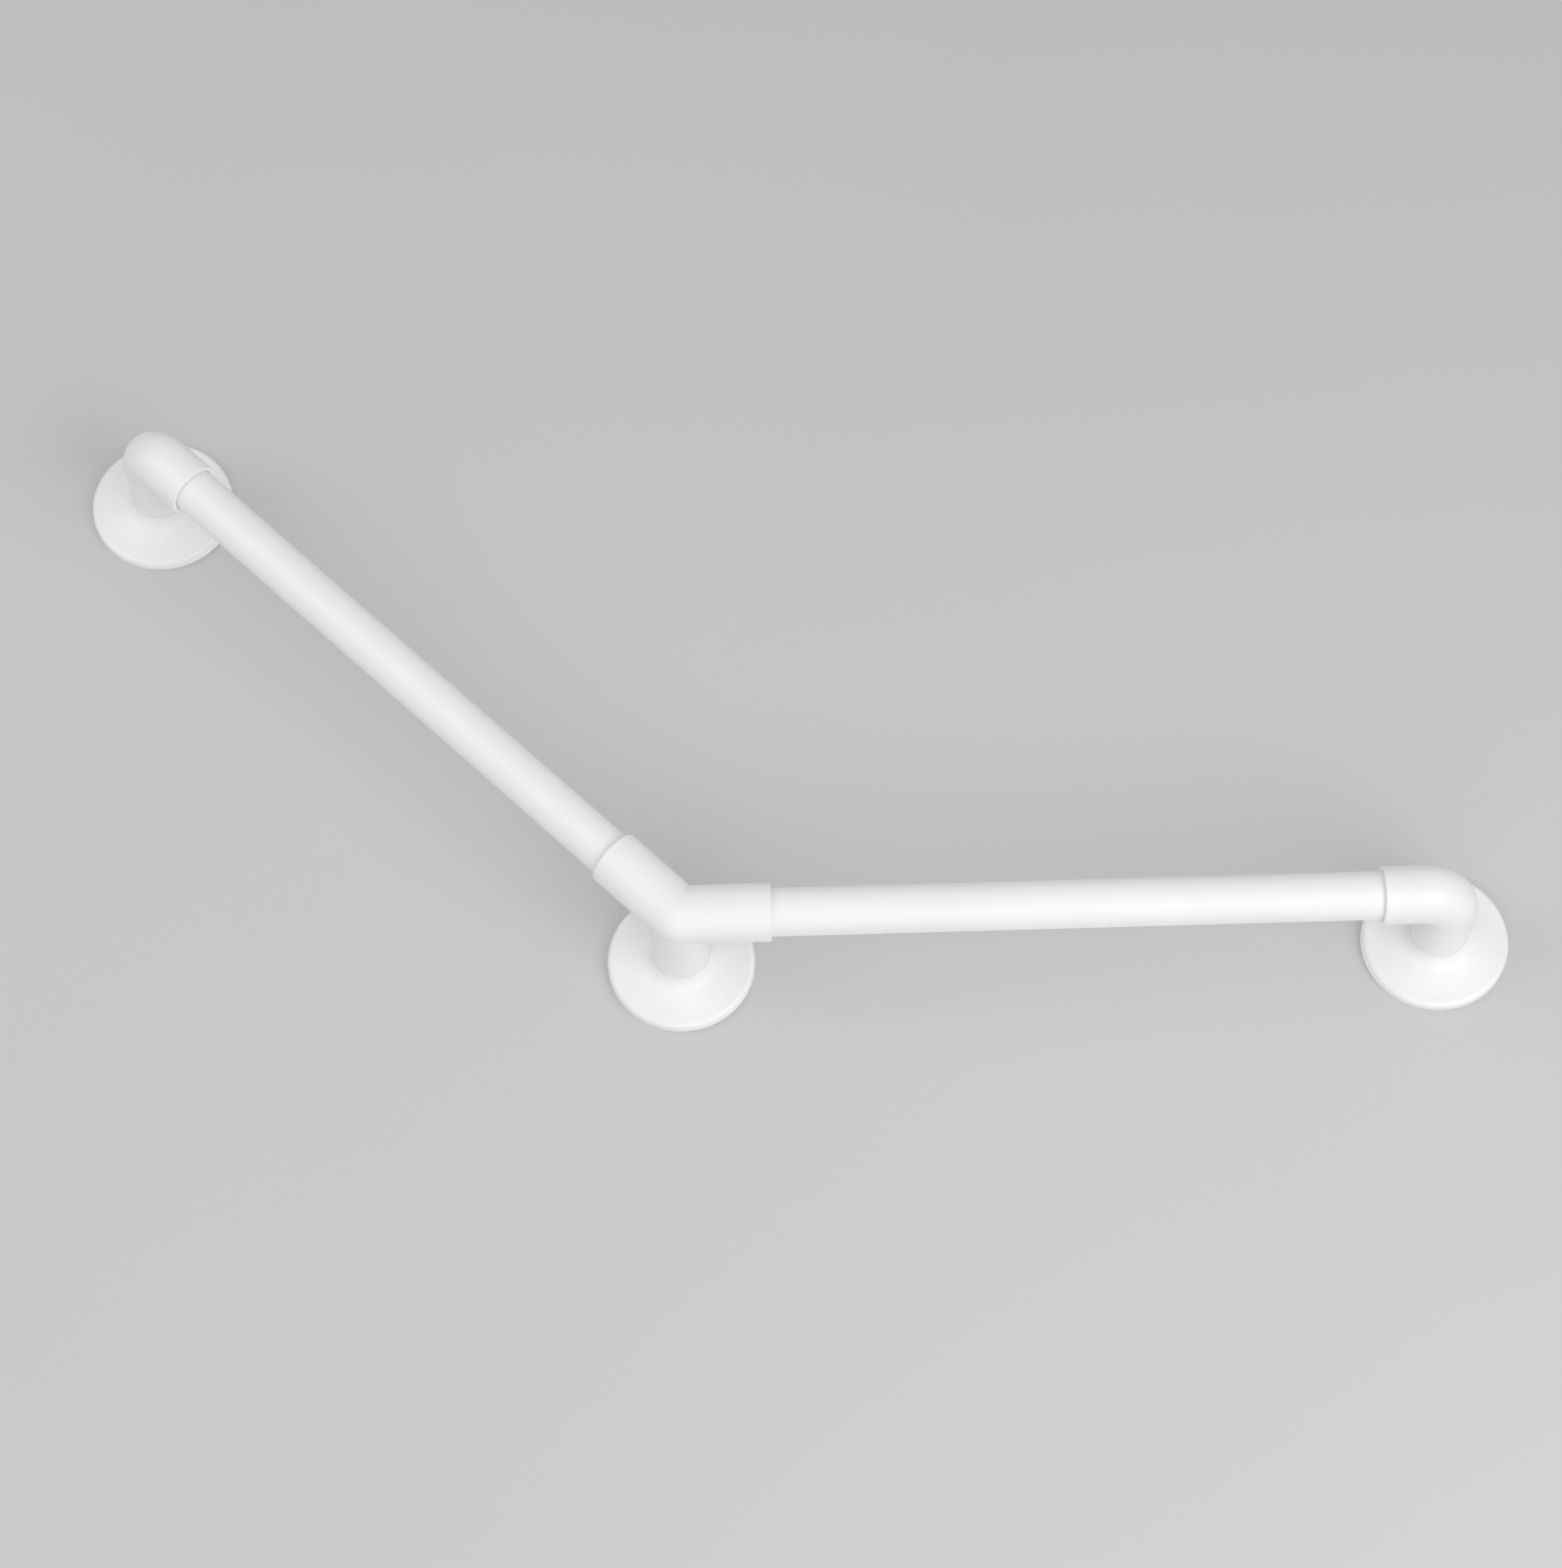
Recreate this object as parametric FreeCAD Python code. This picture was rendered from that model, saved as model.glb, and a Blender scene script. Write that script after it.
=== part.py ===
import FreeCAD, Part
import math
import os

# Angled grab bar: a level leg and a leg that slopes up to the left meet in a corner fitting.
# Each end has an elbow, and three stems hold the bar off the wall. Lengths are in millimetres.
# The pieces are modelled with X along the level leg, Y up the wall and Z out of the wall.
# The last step stands them up, with Z up and the bar on the -Y side of the wall plane.
# The origin is where the corner fitting's stem axis meets the wall.

# Layout of the bar
leg_length = 400.0           # stem axis to stem axis, the same on both legs
included_angle = 135.0       # degrees between the legs
tube_stand_off = 66.0        # wall to the axis of the tubes

# Tubes: a metal core in a plastic grip sleeve
grip_diameter = 25.4
core_diameter = 22.0
core_wall = 1.5
sleeve_clearance = 0.05      # between core and sleeve, on the radius
tube_end_gap = 0.5           # tube end to socket bottom

# Moulded fittings
socket_clearance = 0.1       # between sleeve and socket, on the radius
fitting_wall = 2.45          # around a socket
elbow_bend_radius = 16.0     # of the elbow's centre line
end_collar_reach = 36.5      # stem axis to collar mouth on an elbow
corner_collar_reach = 47.5   # stem axis to collar mouth on the corner fitting
end_socket_depth = 24.0
corner_socket_depth = 30.0
mouth_round = 0.6            # outer edge of a collar mouth
mouth_lead_in = 0.5          # chamfer inside a collar mouth
crease_round = 2.0           # where stem and collars run into each other

# Hollow stem with a boss for the threaded insert
stem_wall = 3.0
boss_wall = 3.0
stem_rib_width = 5.0
stem_rib_count = 4
stem_cavity_roof = 5.0       # between the cavity and the underside of the collars
peg_radius = 2.0
peg_length = 3.0
peg_clearance = 0.05         # on the radius
peg_end_gap = 0.3
peg_count = 2

# Brass insert
insert_radius = 6.0
insert_length = 22.0
insert_recess = 0.4          # below the stem's foot
insert_clearance = 0.05      # on the radius
insert_end_gap = 1.0
insert_groove_width = 3.0
insert_groove_depth = 0.6
insert_chamfer = 0.5

# Countersunk bolt through the wall plate
bolt_radius = 3.95
bolt_length = 25.0
bolt_head_radius = 8.0
bolt_head_rim = 0.35
bolt_recess = 0.3            # head face behind the wall plane
bolt_tip_chamfer = 0.8
bolt_hole_radius = 4.2
bolt_thread_clearance = 0.05
bolt_key_width = 5.0         # across the flats of the hexagon socket
bolt_key_depth = 3.0
bolt_key_sides = 6
bolt_seat_clearance = 0.05

# Cast wall plate
plate_thickness = 4.0
plate_edge_chamfer = 1.0
hub_height = 6.0             # wall to the seat of the stem's foot
wall_screw_circle = 52.0     # diameter through the wall-screw holes
wall_screw_hole_radius = 2.75
wall_screw_sink_radius = 5.25
wall_screw_count = 3

# Rose: the flared cover, which slides out along the stem
rose_diameter = 78.0
rose_wall = 1.8
rose_clearance = 0.3         # round the stem and round the plate
rose_wall_gap = 0.3          # rim to wall
rose_rim_height = 6.0        # wall to the corner where rim and face meet
rose_face_rise = 3.0         # from that corner to where the cove starts
rose_face_sag = 0.6          # dip of the face under a straight cone
rose_cove_width = 5.9        # radial width of the cove that leads onto the stem
rose_lip = 0.6               # thickness of the cove's edge at the stem
rose_edge_round = 3.0
rose_lip_round = 0.25

# Self-tapping screw that locks a tube in its socket
screw_radius = 1.75
screw_length = 9.5
screw_head_radius = 3.3
screw_clearance = 0.05
screw_setback = 10.0         # collar mouth to screw axis
screw_recess = 0.5           # head face below the collar's surface
screw_tip_length = 2.0
screw_tip_radius = 0.4
screw_cross_width = 0.9
screw_cross_length = 3.4
screw_cross_depth = 1.0

cut_overrun = 2.0            # how far a cutting shape runs past a face
full_turn = 360.0

# Sizes that follow from the ones above
grip_radius = grip_diameter / 2
core_radius = core_diameter / 2
sleeve_bore_radius = core_radius + sleeve_clearance
socket_radius = grip_radius + socket_clearance
fitting_radius = socket_radius + fitting_wall
rose_rim_radius = rose_diameter / 2
rose_rim_bore = rose_rim_radius - rose_wall
rose_neck_bore = fitting_radius + rose_clearance
plate_radius = rose_rim_bore - rose_clearance
insert_pocket_radius = insert_radius + insert_clearance
boss_radius = insert_pocket_radius + boss_wall
stem_cavity_radius = fitting_radius - stem_wall
stem_cavity_top = tube_stand_off - fitting_radius - stem_cavity_roof
peg_circle_radius = (boss_radius + fitting_radius) / 2
corner_tube_start = corner_collar_reach - corner_socket_depth + tube_end_gap
end_tube_start = end_collar_reach - end_socket_depth + tube_end_gap
corner_screw_reach = corner_collar_reach - screw_setback
end_screw_reach = end_collar_reach - screw_setback

# Direction of each fitting's mirror plane, measured from its first arm. Pegs and holes follow it.
corner_mirror_angle = included_angle / 2
end_mirror_angle = full_turn / 2

centre = FreeCAD.Vector(0, 0, 0)
along = FreeCAD.Vector(1, 0, 0)      # along a leg, away from the stem
across = FreeCAD.Vector(0, 1, 0)
outward = FreeCAD.Vector(0, 0, 1)    # out of the wall
tube_level = outward * tube_stand_off


def rod(radius, start, end, axis=outward, base=centre):
    return Part.makeCylinder(radius, end - start, base + axis * start, axis)


def turned(outline):
    # A solid of revolution about the outward axis, from (radius, height) points
    points = [FreeCAD.Vector(radius, 0, height) for radius, height in outline]
    return Part.Face(Part.makePolygon(points + points[:1])).revolve(centre, outward, full_turn)


def round_edges(shape, size, radius, place):
    # Rounds the circular edges of one radius whose centre lies at a place
    chosen = []
    for edge in shape.Edges:
        curve = edge.Curve
        if not isinstance(curve, Part.Circle):
            continue
        if math.isclose(curve.Radius, radius) and curve.Center.isEqual(place, Part.Precision.confusion()):
            chosen.append(edge)
    return shape.makeFillet(size, chosen)


def round_creases(shape, size):
    # Rounds the elliptical edges in which cylinders of one radius meet
    chosen = [edge for edge in shape.Edges if not edge.Degenerated and isinstance(edge.Curve, Part.Ellipse)]
    return shape.makeFillet(size, chosen)


def turned_about_stem(shape, angle):
    turned_shape = shape.copy()
    turned_shape.rotate(centre, outward, angle)
    return turned_shape


def fan(shape, count, first_angle=0):
    # Equal copies of a shape round the stem axis
    copies = [turned_about_stem(shape, first_angle + full_turn * step / count) for step in range(count)]
    return copies[0].multiFuse(copies[1:])


def collar(reach):
    plain = rod(fitting_radius, 0, reach, along, tube_level)
    return round_edges(plain, mouth_round, fitting_radius, tube_level + along * reach)


def socket_cut(reach, depth):
    # Bore for the tube, its lead-in, and the hole for the locking screw on the wall side
    bore = rod(socket_radius, reach - depth, reach + cut_overrun, along, tube_level)
    lead_in = Part.makeCone(
        socket_radius, socket_radius + mouth_lead_in, mouth_lead_in,
        tube_level + along * (reach - mouth_lead_in), along)
    return bore.multiFuse([lead_in, screw_cut(reach - screw_setback)])


def screw_seat(reach):
    # Centre of the screw head's flat face
    return along * reach + outward * (tube_stand_off - fitting_radius + screw_recess)


def screw_cut(reach):
    hole_radius = screw_radius + screw_clearance
    sink_radius = screw_head_radius + screw_clearance
    seat = screw_seat(reach)
    hole = rod(hole_radius, 0, tube_stand_off - seat.z, outward, seat)
    sink = Part.makeCone(sink_radius, hole_radius, sink_radius - hole_radius, seat, outward)
    mouth = rod(sink_radius, -screw_recess - cut_overrun, 0, outward, seat)
    return hole.multiFuse([sink, mouth])


def socket_screw(reach):
    # Countersunk head towards the wall, point towards the middle of the tube
    seat = screw_seat(reach)
    head_height = screw_head_radius - screw_radius
    screw = turned([
        (0, 0),
        (screw_head_radius, 0),
        (screw_radius, head_height),
        (screw_radius, screw_length - screw_tip_length),
        (screw_tip_radius, screw_length),
        (0, screw_length)])
    slot = Part.makeBox(
        screw_cross_length, screw_cross_width, screw_cross_depth + cut_overrun,
        FreeCAD.Vector(-screw_cross_length / 2, -screw_cross_width / 2, -cut_overrun))
    crossed_slot = turned_about_stem(slot, full_turn / 4)
    screw = screw.cut(slot.fuse(crossed_slot))
    screw.translate(seat)
    return screw


def stem_core_cut(mirror_angle):
    # Ring-shaped cavity between stem wall and boss, left solid at the ribs, and the insert's pocket
    ring = rod(stem_cavity_radius, hub_height - cut_overrun, stem_cavity_top)
    boss = rod(boss_radius, hub_height - cut_overrun, stem_cavity_top)
    rib = Part.makeBox(
        stem_cavity_radius + cut_overrun, stem_rib_width, stem_cavity_top,
        FreeCAD.Vector(0, -stem_rib_width / 2, 0))
    cavity = ring.cut(boss).cut(fan(rib, stem_rib_count, mirror_angle))
    pocket_depth = insert_recess + insert_length + insert_end_gap
    pocket = rod(insert_pocket_radius, hub_height - cut_overrun, hub_height + pocket_depth)
    return cavity.fuse(pocket)


def pegs(radius, depth, mirror_angle):
    # Locating pegs below the stem's foot, on two opposite ribs
    peg = rod(radius, hub_height - depth, hub_height, outward, along * peg_circle_radius)
    return fan(peg, peg_count, mirror_angle)


def end_elbow():
    bend_height = tube_stand_off - elbow_bend_radius
    stem = rod(fitting_radius, hub_height, bend_height)
    section = Part.Face(Part.Wire(Part.makeCircle(fitting_radius, outward * bend_height, outward)))
    bend_centre = along * elbow_bend_radius + outward * bend_height
    bend = section.revolve(bend_centre, across, full_turn / 4)
    arm = collar(end_collar_reach).common(
        rod(fitting_radius, elbow_bend_radius, end_collar_reach, along, tube_level))
    outside = stem.multiFuse([bend, arm]).removeSplitter()
    hollow = outside.cut(stem_core_cut(end_mirror_angle)).cut(socket_cut(end_collar_reach, end_socket_depth))
    return hollow.fuse(pegs(peg_radius, peg_length, end_mirror_angle)).removeSplitter()


def corner_fitting():
    # Two collars and a stem of one radius meet in a ball, so the outside of the bend is round
    stem = rod(fitting_radius, hub_height, tube_stand_off)
    ball = Part.makeSphere(fitting_radius, tube_level)
    level_collar = collar(corner_collar_reach)
    sloping_collar = turned_about_stem(level_collar, included_angle)
    level_socket = socket_cut(corner_collar_reach, corner_socket_depth)
    sloping_socket = turned_about_stem(level_socket, included_angle)
    outside = stem.multiFuse([ball, level_collar, sloping_collar]).removeSplitter()
    outside = round_creases(outside, crease_round)
    hollow = outside.cut(stem_core_cut(corner_mirror_angle)).cut(level_socket).cut(sloping_socket)
    return hollow.fuse(pegs(peg_radius, peg_length, corner_mirror_angle)).removeSplitter()


def leg_tube(outer_radius, inner_radius):
    # One leg's tube from socket to socket, with its two screw holes on the wall side
    end = leg_length - end_tube_start
    tube = rod(outer_radius, corner_tube_start, end, along, tube_level)
    bore = rod(inner_radius, corner_tube_start - cut_overrun, end + cut_overrun, along, tube_level)
    tube = tube.cut(bore)
    for reach in (corner_screw_reach, leg_length - end_screw_reach):
        hole = rod(screw_radius + screw_clearance, 0, tube_stand_off, outward, along * reach)
        tube = tube.cut(hole)
    return tube


def stem_insert():
    low = hub_height + insert_recess
    high = low + insert_length
    groove_low = (low + high - insert_groove_width) / 2
    groove_high = groove_low + insert_groove_width
    groove_radius = insert_radius - insert_groove_depth
    thread_radius = bolt_radius + bolt_thread_clearance
    return turned([
        (thread_radius, low),
        (insert_radius - insert_chamfer, low),
        (insert_radius, low + insert_chamfer),
        (insert_radius, groove_low),
        (groove_radius, groove_low),
        (groove_radius, groove_high),
        (insert_radius, groove_high),
        (insert_radius, high - insert_chamfer),
        (insert_radius - insert_chamfer, high),
        (thread_radius, high)])


def stem_bolt():
    rim_top = bolt_recess + bolt_head_rim
    cone_top = rim_top + bolt_head_radius - bolt_radius
    tip = bolt_recess + bolt_length
    bolt = turned([
        (0, bolt_recess),
        (bolt_head_radius, bolt_recess),
        (bolt_head_radius, rim_top),
        (bolt_radius, cone_top),
        (bolt_radius, tip - bolt_tip_chamfer),
        (bolt_radius - bolt_tip_chamfer, tip),
        (0, tip)])
    key_corner_radius = bolt_key_width / 2 / math.cos(math.pi / bolt_key_sides)
    key_start = bolt_recess - cut_overrun
    key_outline = []
    for side in range(bolt_key_sides + 1):
        turn = math.tau * side / bolt_key_sides
        corner = along * (key_corner_radius * math.cos(turn)) + across * (key_corner_radius * math.sin(turn))
        key_outline.append(corner + outward * key_start)
    key = Part.Face(Part.makePolygon(key_outline)).extrude(outward * (bolt_key_depth + cut_overrun))
    return bolt.cut(key)


def bolt_cut():
    # Countersink from the back of the plate and the clearance hole through its hub
    sink_radius = bolt_head_radius + bolt_seat_clearance
    rim_top = bolt_recess + bolt_head_rim
    rim = rod(sink_radius, -cut_overrun, rim_top)
    cone = Part.makeCone(
        sink_radius, bolt_hole_radius, sink_radius - bolt_hole_radius, outward * rim_top, outward)
    hole = rod(bolt_hole_radius, 0, hub_height + cut_overrun)
    return rim.multiFuse([cone, hole])


def wall_screw_cut():
    # One wall-screw hole with its countersink on the front
    base = along * (wall_screw_circle / 2)
    sink_depth = wall_screw_sink_radius - wall_screw_hole_radius
    hole = rod(wall_screw_hole_radius, -cut_overrun, plate_thickness + cut_overrun, outward, base)
    sink = Part.makeCone(
        wall_screw_hole_radius, wall_screw_sink_radius, sink_depth,
        base + outward * (plate_thickness - sink_depth), outward)
    return hole.fuse(sink)


def wall_plate(mirror_angle):
    # The wall-screw holes keep clear of the tubes, so a screwdriver reaches them
    disc = turned([
        (0, 0),
        (plate_radius, 0),
        (plate_radius, plate_thickness - plate_edge_chamfer),
        (plate_radius - plate_edge_chamfer, plate_thickness),
        (fitting_radius, plate_thickness),
        (fitting_radius, hub_height),
        (0, hub_height)])
    peg_holes = pegs(peg_radius + peg_clearance, peg_length + peg_end_gap, mirror_angle)
    screw_holes = fan(wall_screw_cut(), wall_screw_count, mirror_angle)
    return disc.cut(bolt_cut()).cut(peg_holes).cut(screw_holes)


def arc_about(middle, radius, first, last):
    # The arc between two points that lie at one radius about a centre
    halfway = (first - middle) + (last - middle)
    return Part.Arc(first, middle + halfway.normalize() * radius, last).toShape()


def rose():
    # Outside: a face that sags a little from rim to cove, and a cove that ends along the stem
    corner = FreeCAD.Vector(rose_rim_radius, 0, rose_rim_height)
    lip_radius = rose_neck_bore + rose_lip
    cove_start = FreeCAD.Vector(lip_radius + rose_cove_width, 0, rose_rim_height + rose_face_rise)
    chord = cove_start - corner
    half_chord = chord.Length / 2
    face_radius = (half_chord * half_chord + rose_face_sag * rose_face_sag) / (2 * rose_face_sag)
    over_face = FreeCAD.Vector(chord.z, 0, -chord.x).normalize()
    face_centre = (corner + cove_start) / 2 + over_face * (face_radius - rose_face_sag)
    toward = (face_centre - cove_start) / face_radius
    cove_radius = rose_cove_width / (1 - toward.x)
    cove_centre = cove_start + toward * cove_radius
    lip_edge = FreeCAD.Vector(lip_radius, 0, cove_centre.z)
    neck_edge = FreeCAD.Vector(rose_neck_bore, 0, cove_centre.z)

    # Underside: one wall below, from the neck's bore to the rim's
    under_face = face_radius + rose_wall
    under_cove = cove_radius + rose_wall
    under_start = cove_start - toward * rose_wall
    neck_run = cove_centre.x - rose_neck_bore
    rim_run = face_centre.x - rose_rim_bore
    under_neck = FreeCAD.Vector(
        rose_neck_bore, 0, cove_centre.z - math.sqrt(under_cove * under_cove - neck_run * neck_run))
    under_corner = FreeCAD.Vector(
        rose_rim_bore, 0, face_centre.z - math.sqrt(under_face * under_face - rim_run * rim_run))
    rim_foot = FreeCAD.Vector(rose_rim_radius, 0, rose_wall_gap)
    rim_inner_foot = FreeCAD.Vector(rose_rim_bore, 0, rose_wall_gap)

    outline = Part.Wire([
        Part.makeLine(rim_foot, corner),
        arc_about(face_centre, face_radius, corner, cove_start),
        arc_about(cove_centre, cove_radius, cove_start, lip_edge),
        Part.makeLine(lip_edge, neck_edge),
        Part.makeLine(neck_edge, under_neck),
        arc_about(cove_centre, under_cove, under_neck, under_start),
        arc_about(face_centre, under_face, under_start, under_corner),
        Part.makeLine(under_corner, rim_inner_foot),
        Part.makeLine(rim_inner_foot, rim_foot)])
    shell = Part.Face(outline).revolve(centre, outward, full_turn)
    shell = round_edges(shell, rose_edge_round, rose_rim_radius, outward * corner.z)
    return round_edges(shell, rose_lip_round, lip_radius, outward * lip_edge.z)


def write(name, shape):
    # Stands the piece up against the wall plane and writes it
    upright = shape.copy()
    upright.rotate(centre, along, full_turn / 4)
    upright.exportStep(os.path.join("parts", name + ".step"))


def main():
    os.makedirs("parts", exist_ok=True)

    core = leg_tube(core_radius, core_radius - core_wall)
    sleeve = leg_tube(grip_radius, sleeve_bore_radius)
    for leg, angle in (("level", 0), ("sloping", included_angle)):
        write(leg + "_core_tube", turned_about_stem(core, angle))
        write(leg + "_grip_sleeve", turned_about_stem(sleeve, angle))

    # Each station: its fitting, where its stem stands, how it is turned and its mirror plane
    upper_end = FreeCAD.Rotation(outward, included_angle).multVec(along * leg_length)
    elbow = end_elbow()
    stations = {
        "corner": ("fitting", corner_fitting(), centre, 0, corner_mirror_angle),
        "upper": ("end_elbow", elbow, upper_end, included_angle + full_turn / 2, end_mirror_angle),
        "lower": ("end_elbow", elbow, along * leg_length, full_turn / 2, end_mirror_angle),
    }
    for station, (kind, fitting, place, angle, mirror_angle) in stations.items():
        pieces = {
            station + "_" + kind: fitting,
            station + "_wall_plate": wall_plate(mirror_angle),
            station + "_rose": rose(),
            station + "_stem_bolt": stem_bolt(),
            station + "_stem_insert": stem_insert(),
        }
        for piece_name, piece in pieces.items():
            placed = turned_about_stem(piece, angle)
            placed.translate(place)
            write(piece_name, placed)

    screws = []
    for angle in (0, included_angle):
        for reach in (corner_screw_reach, leg_length - end_screw_reach):
            screws.append(turned_about_stem(socket_screw(reach), angle))
    write("socket_screws", Part.makeCompound(screws))


main()
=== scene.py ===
import math

import bmesh
import bpy
from mathutils import Matrix, Vector


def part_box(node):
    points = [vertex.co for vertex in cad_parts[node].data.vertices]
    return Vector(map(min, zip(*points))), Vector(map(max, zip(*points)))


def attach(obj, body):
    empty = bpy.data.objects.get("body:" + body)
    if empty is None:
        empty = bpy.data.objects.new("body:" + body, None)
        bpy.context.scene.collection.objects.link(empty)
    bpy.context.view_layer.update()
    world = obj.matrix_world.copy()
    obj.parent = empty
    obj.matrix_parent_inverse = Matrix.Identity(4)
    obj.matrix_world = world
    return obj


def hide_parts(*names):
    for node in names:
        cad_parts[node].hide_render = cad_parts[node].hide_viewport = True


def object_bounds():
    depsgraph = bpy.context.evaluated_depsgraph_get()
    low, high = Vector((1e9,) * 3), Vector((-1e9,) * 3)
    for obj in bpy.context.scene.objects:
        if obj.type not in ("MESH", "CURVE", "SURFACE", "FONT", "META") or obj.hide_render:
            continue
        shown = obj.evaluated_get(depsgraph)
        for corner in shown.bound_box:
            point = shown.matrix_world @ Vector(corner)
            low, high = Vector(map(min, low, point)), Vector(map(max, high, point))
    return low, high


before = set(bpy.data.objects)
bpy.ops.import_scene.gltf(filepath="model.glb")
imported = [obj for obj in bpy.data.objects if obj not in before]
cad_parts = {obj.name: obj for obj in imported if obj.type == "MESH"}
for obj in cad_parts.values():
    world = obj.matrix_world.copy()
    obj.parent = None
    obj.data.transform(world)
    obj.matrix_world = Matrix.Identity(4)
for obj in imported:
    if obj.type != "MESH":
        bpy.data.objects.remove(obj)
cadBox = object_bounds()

scene = bpy.context.scene
scene.view_settings.view_transform = "Standard"
legTurns = {"level": 0.0, "sloping": math.radians(135)}      # about the wall's normal


# Camera, fitted to the photograph
cameraFit = {
    "place": (0.023127, -2.046208, -0.842531),
    "right": (0.999527, -0.001840, -0.030713),
    "down": (-0.027105, 0.419731, -0.907244),
    "forward": (0.014561, 0.907647, 0.419482),
    "focalPixels": 4254.0,      # in the photograph's 1594 x 1600 frame
    "longSidePixels": 1600.0,
    "sensor": 36.0,
}


def makeCamera(fit):
    data = bpy.data.cameras.new("camera")
    data.sensor_width = fit["sensor"]
    data.lens = fit["focalPixels"] / fit["longSidePixels"] * fit["sensor"]
    camera = bpy.data.objects.new("camera", data)
    right = Vector(fit["right"])
    up = -Vector(fit["down"])
    back = -Vector(fit["forward"])
    turn = Matrix((right, up, back)).transposed().to_4x4()
    camera.matrix_world = Matrix.Translation(fit["place"]) @ turn
    scene.collection.objects.link(camera)
    scene.camera = camera


makeCamera(cameraFit)
print("camera made")


# Soft boxes round the bar and an even pale world
studio = {
    "worldStrength": 0.576,
    "distance": 1.8,
    "boxWidth": 1.4,
    "boxes": {          # azimuth and elevation in degrees seen from the bar, and watts
        "keyBox": (40, -35, 12.9),
        "fillBox": (-45, 0, 6.7),
        "lowBox": (0, -65, 2.8),
        "backBox": (180, 0, 8.0),
    },
}


def makeStudio(kit):
    world = bpy.data.worlds.new("studio")
    scene.world = world
    world.use_nodes = True
    sky = world.node_tree.nodes["Background"]
    sky.inputs["Color"].default_value = (1, 1, 1, 1)
    sky.inputs["Strength"].default_value = kit["worldStrength"]
    middle = (cadBox[0] + cadBox[1]) / 2
    for name, (azimuth, elevation, watts) in kit["boxes"].items():
        light = bpy.data.lights.new(name, "AREA")
        light.shape = "DISK"
        light.size = kit["boxWidth"]
        light.energy = watts
        lamp = bpy.data.objects.new(name, light)
        lamp.visible_camera = False
        side = math.radians(azimuth)
        rise = math.radians(elevation)
        aim = Vector((math.sin(side) * math.cos(rise), -math.cos(side) * math.cos(rise),
                      math.sin(rise)))
        lamp.location = middle + aim * kit["distance"]
        lamp.rotation_euler = aim.to_track_quat("Z", "Y").to_euler()
        scene.collection.objects.link(lamp)


makeStudio(studio)
print("lights made")


# Node helpers
def newTree(name, kind, inputs, outputs):
    tree = bpy.data.node_groups.new(name, kind)
    for label, socketType, value in inputs:
        socket = tree.interface.new_socket(name=label, in_out="INPUT", socket_type=socketType)
        if value is not None:
            socket.default_value = value
    for label, socketType in outputs:
        tree.interface.new_socket(name=label, in_out="OUTPUT", socket_type=socketType)
    return tree, tree.nodes.new("NodeGroupInput"), tree.nodes.new("NodeGroupOutput")


def addNode(tree, kind, settings=None, values=None):
    node = tree.nodes.new(kind)
    for name, value in (settings or {}).items():
        setattr(node, name, value)
    for name, value in (values or {}).items():
        node.inputs[name].default_value = value
    return node


def inputId(tree, label):
    for item in tree.interface.items_tree:
        if item.item_type == "SOCKET" and item.in_out == "INPUT" and item.name == label:
            return item.identifier
    raise KeyError(label)


# Shader groups that more than one finish uses
groupPattern = {
    "noiseRange": {"From Min": 0.3, "From Max": 0.7},      # where nearly all noise values lie
    "handlingPerMetre": 75.0,     # patches of more and less gloss
    "sinkPerMetre": 110.0,        # slow waves, as a moulding sinks while it cools
    "sinkShare": 2.5,             # their height against the grain's
    "fineLines": 4.3,             # fine draw lines for each coarse one
}


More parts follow.
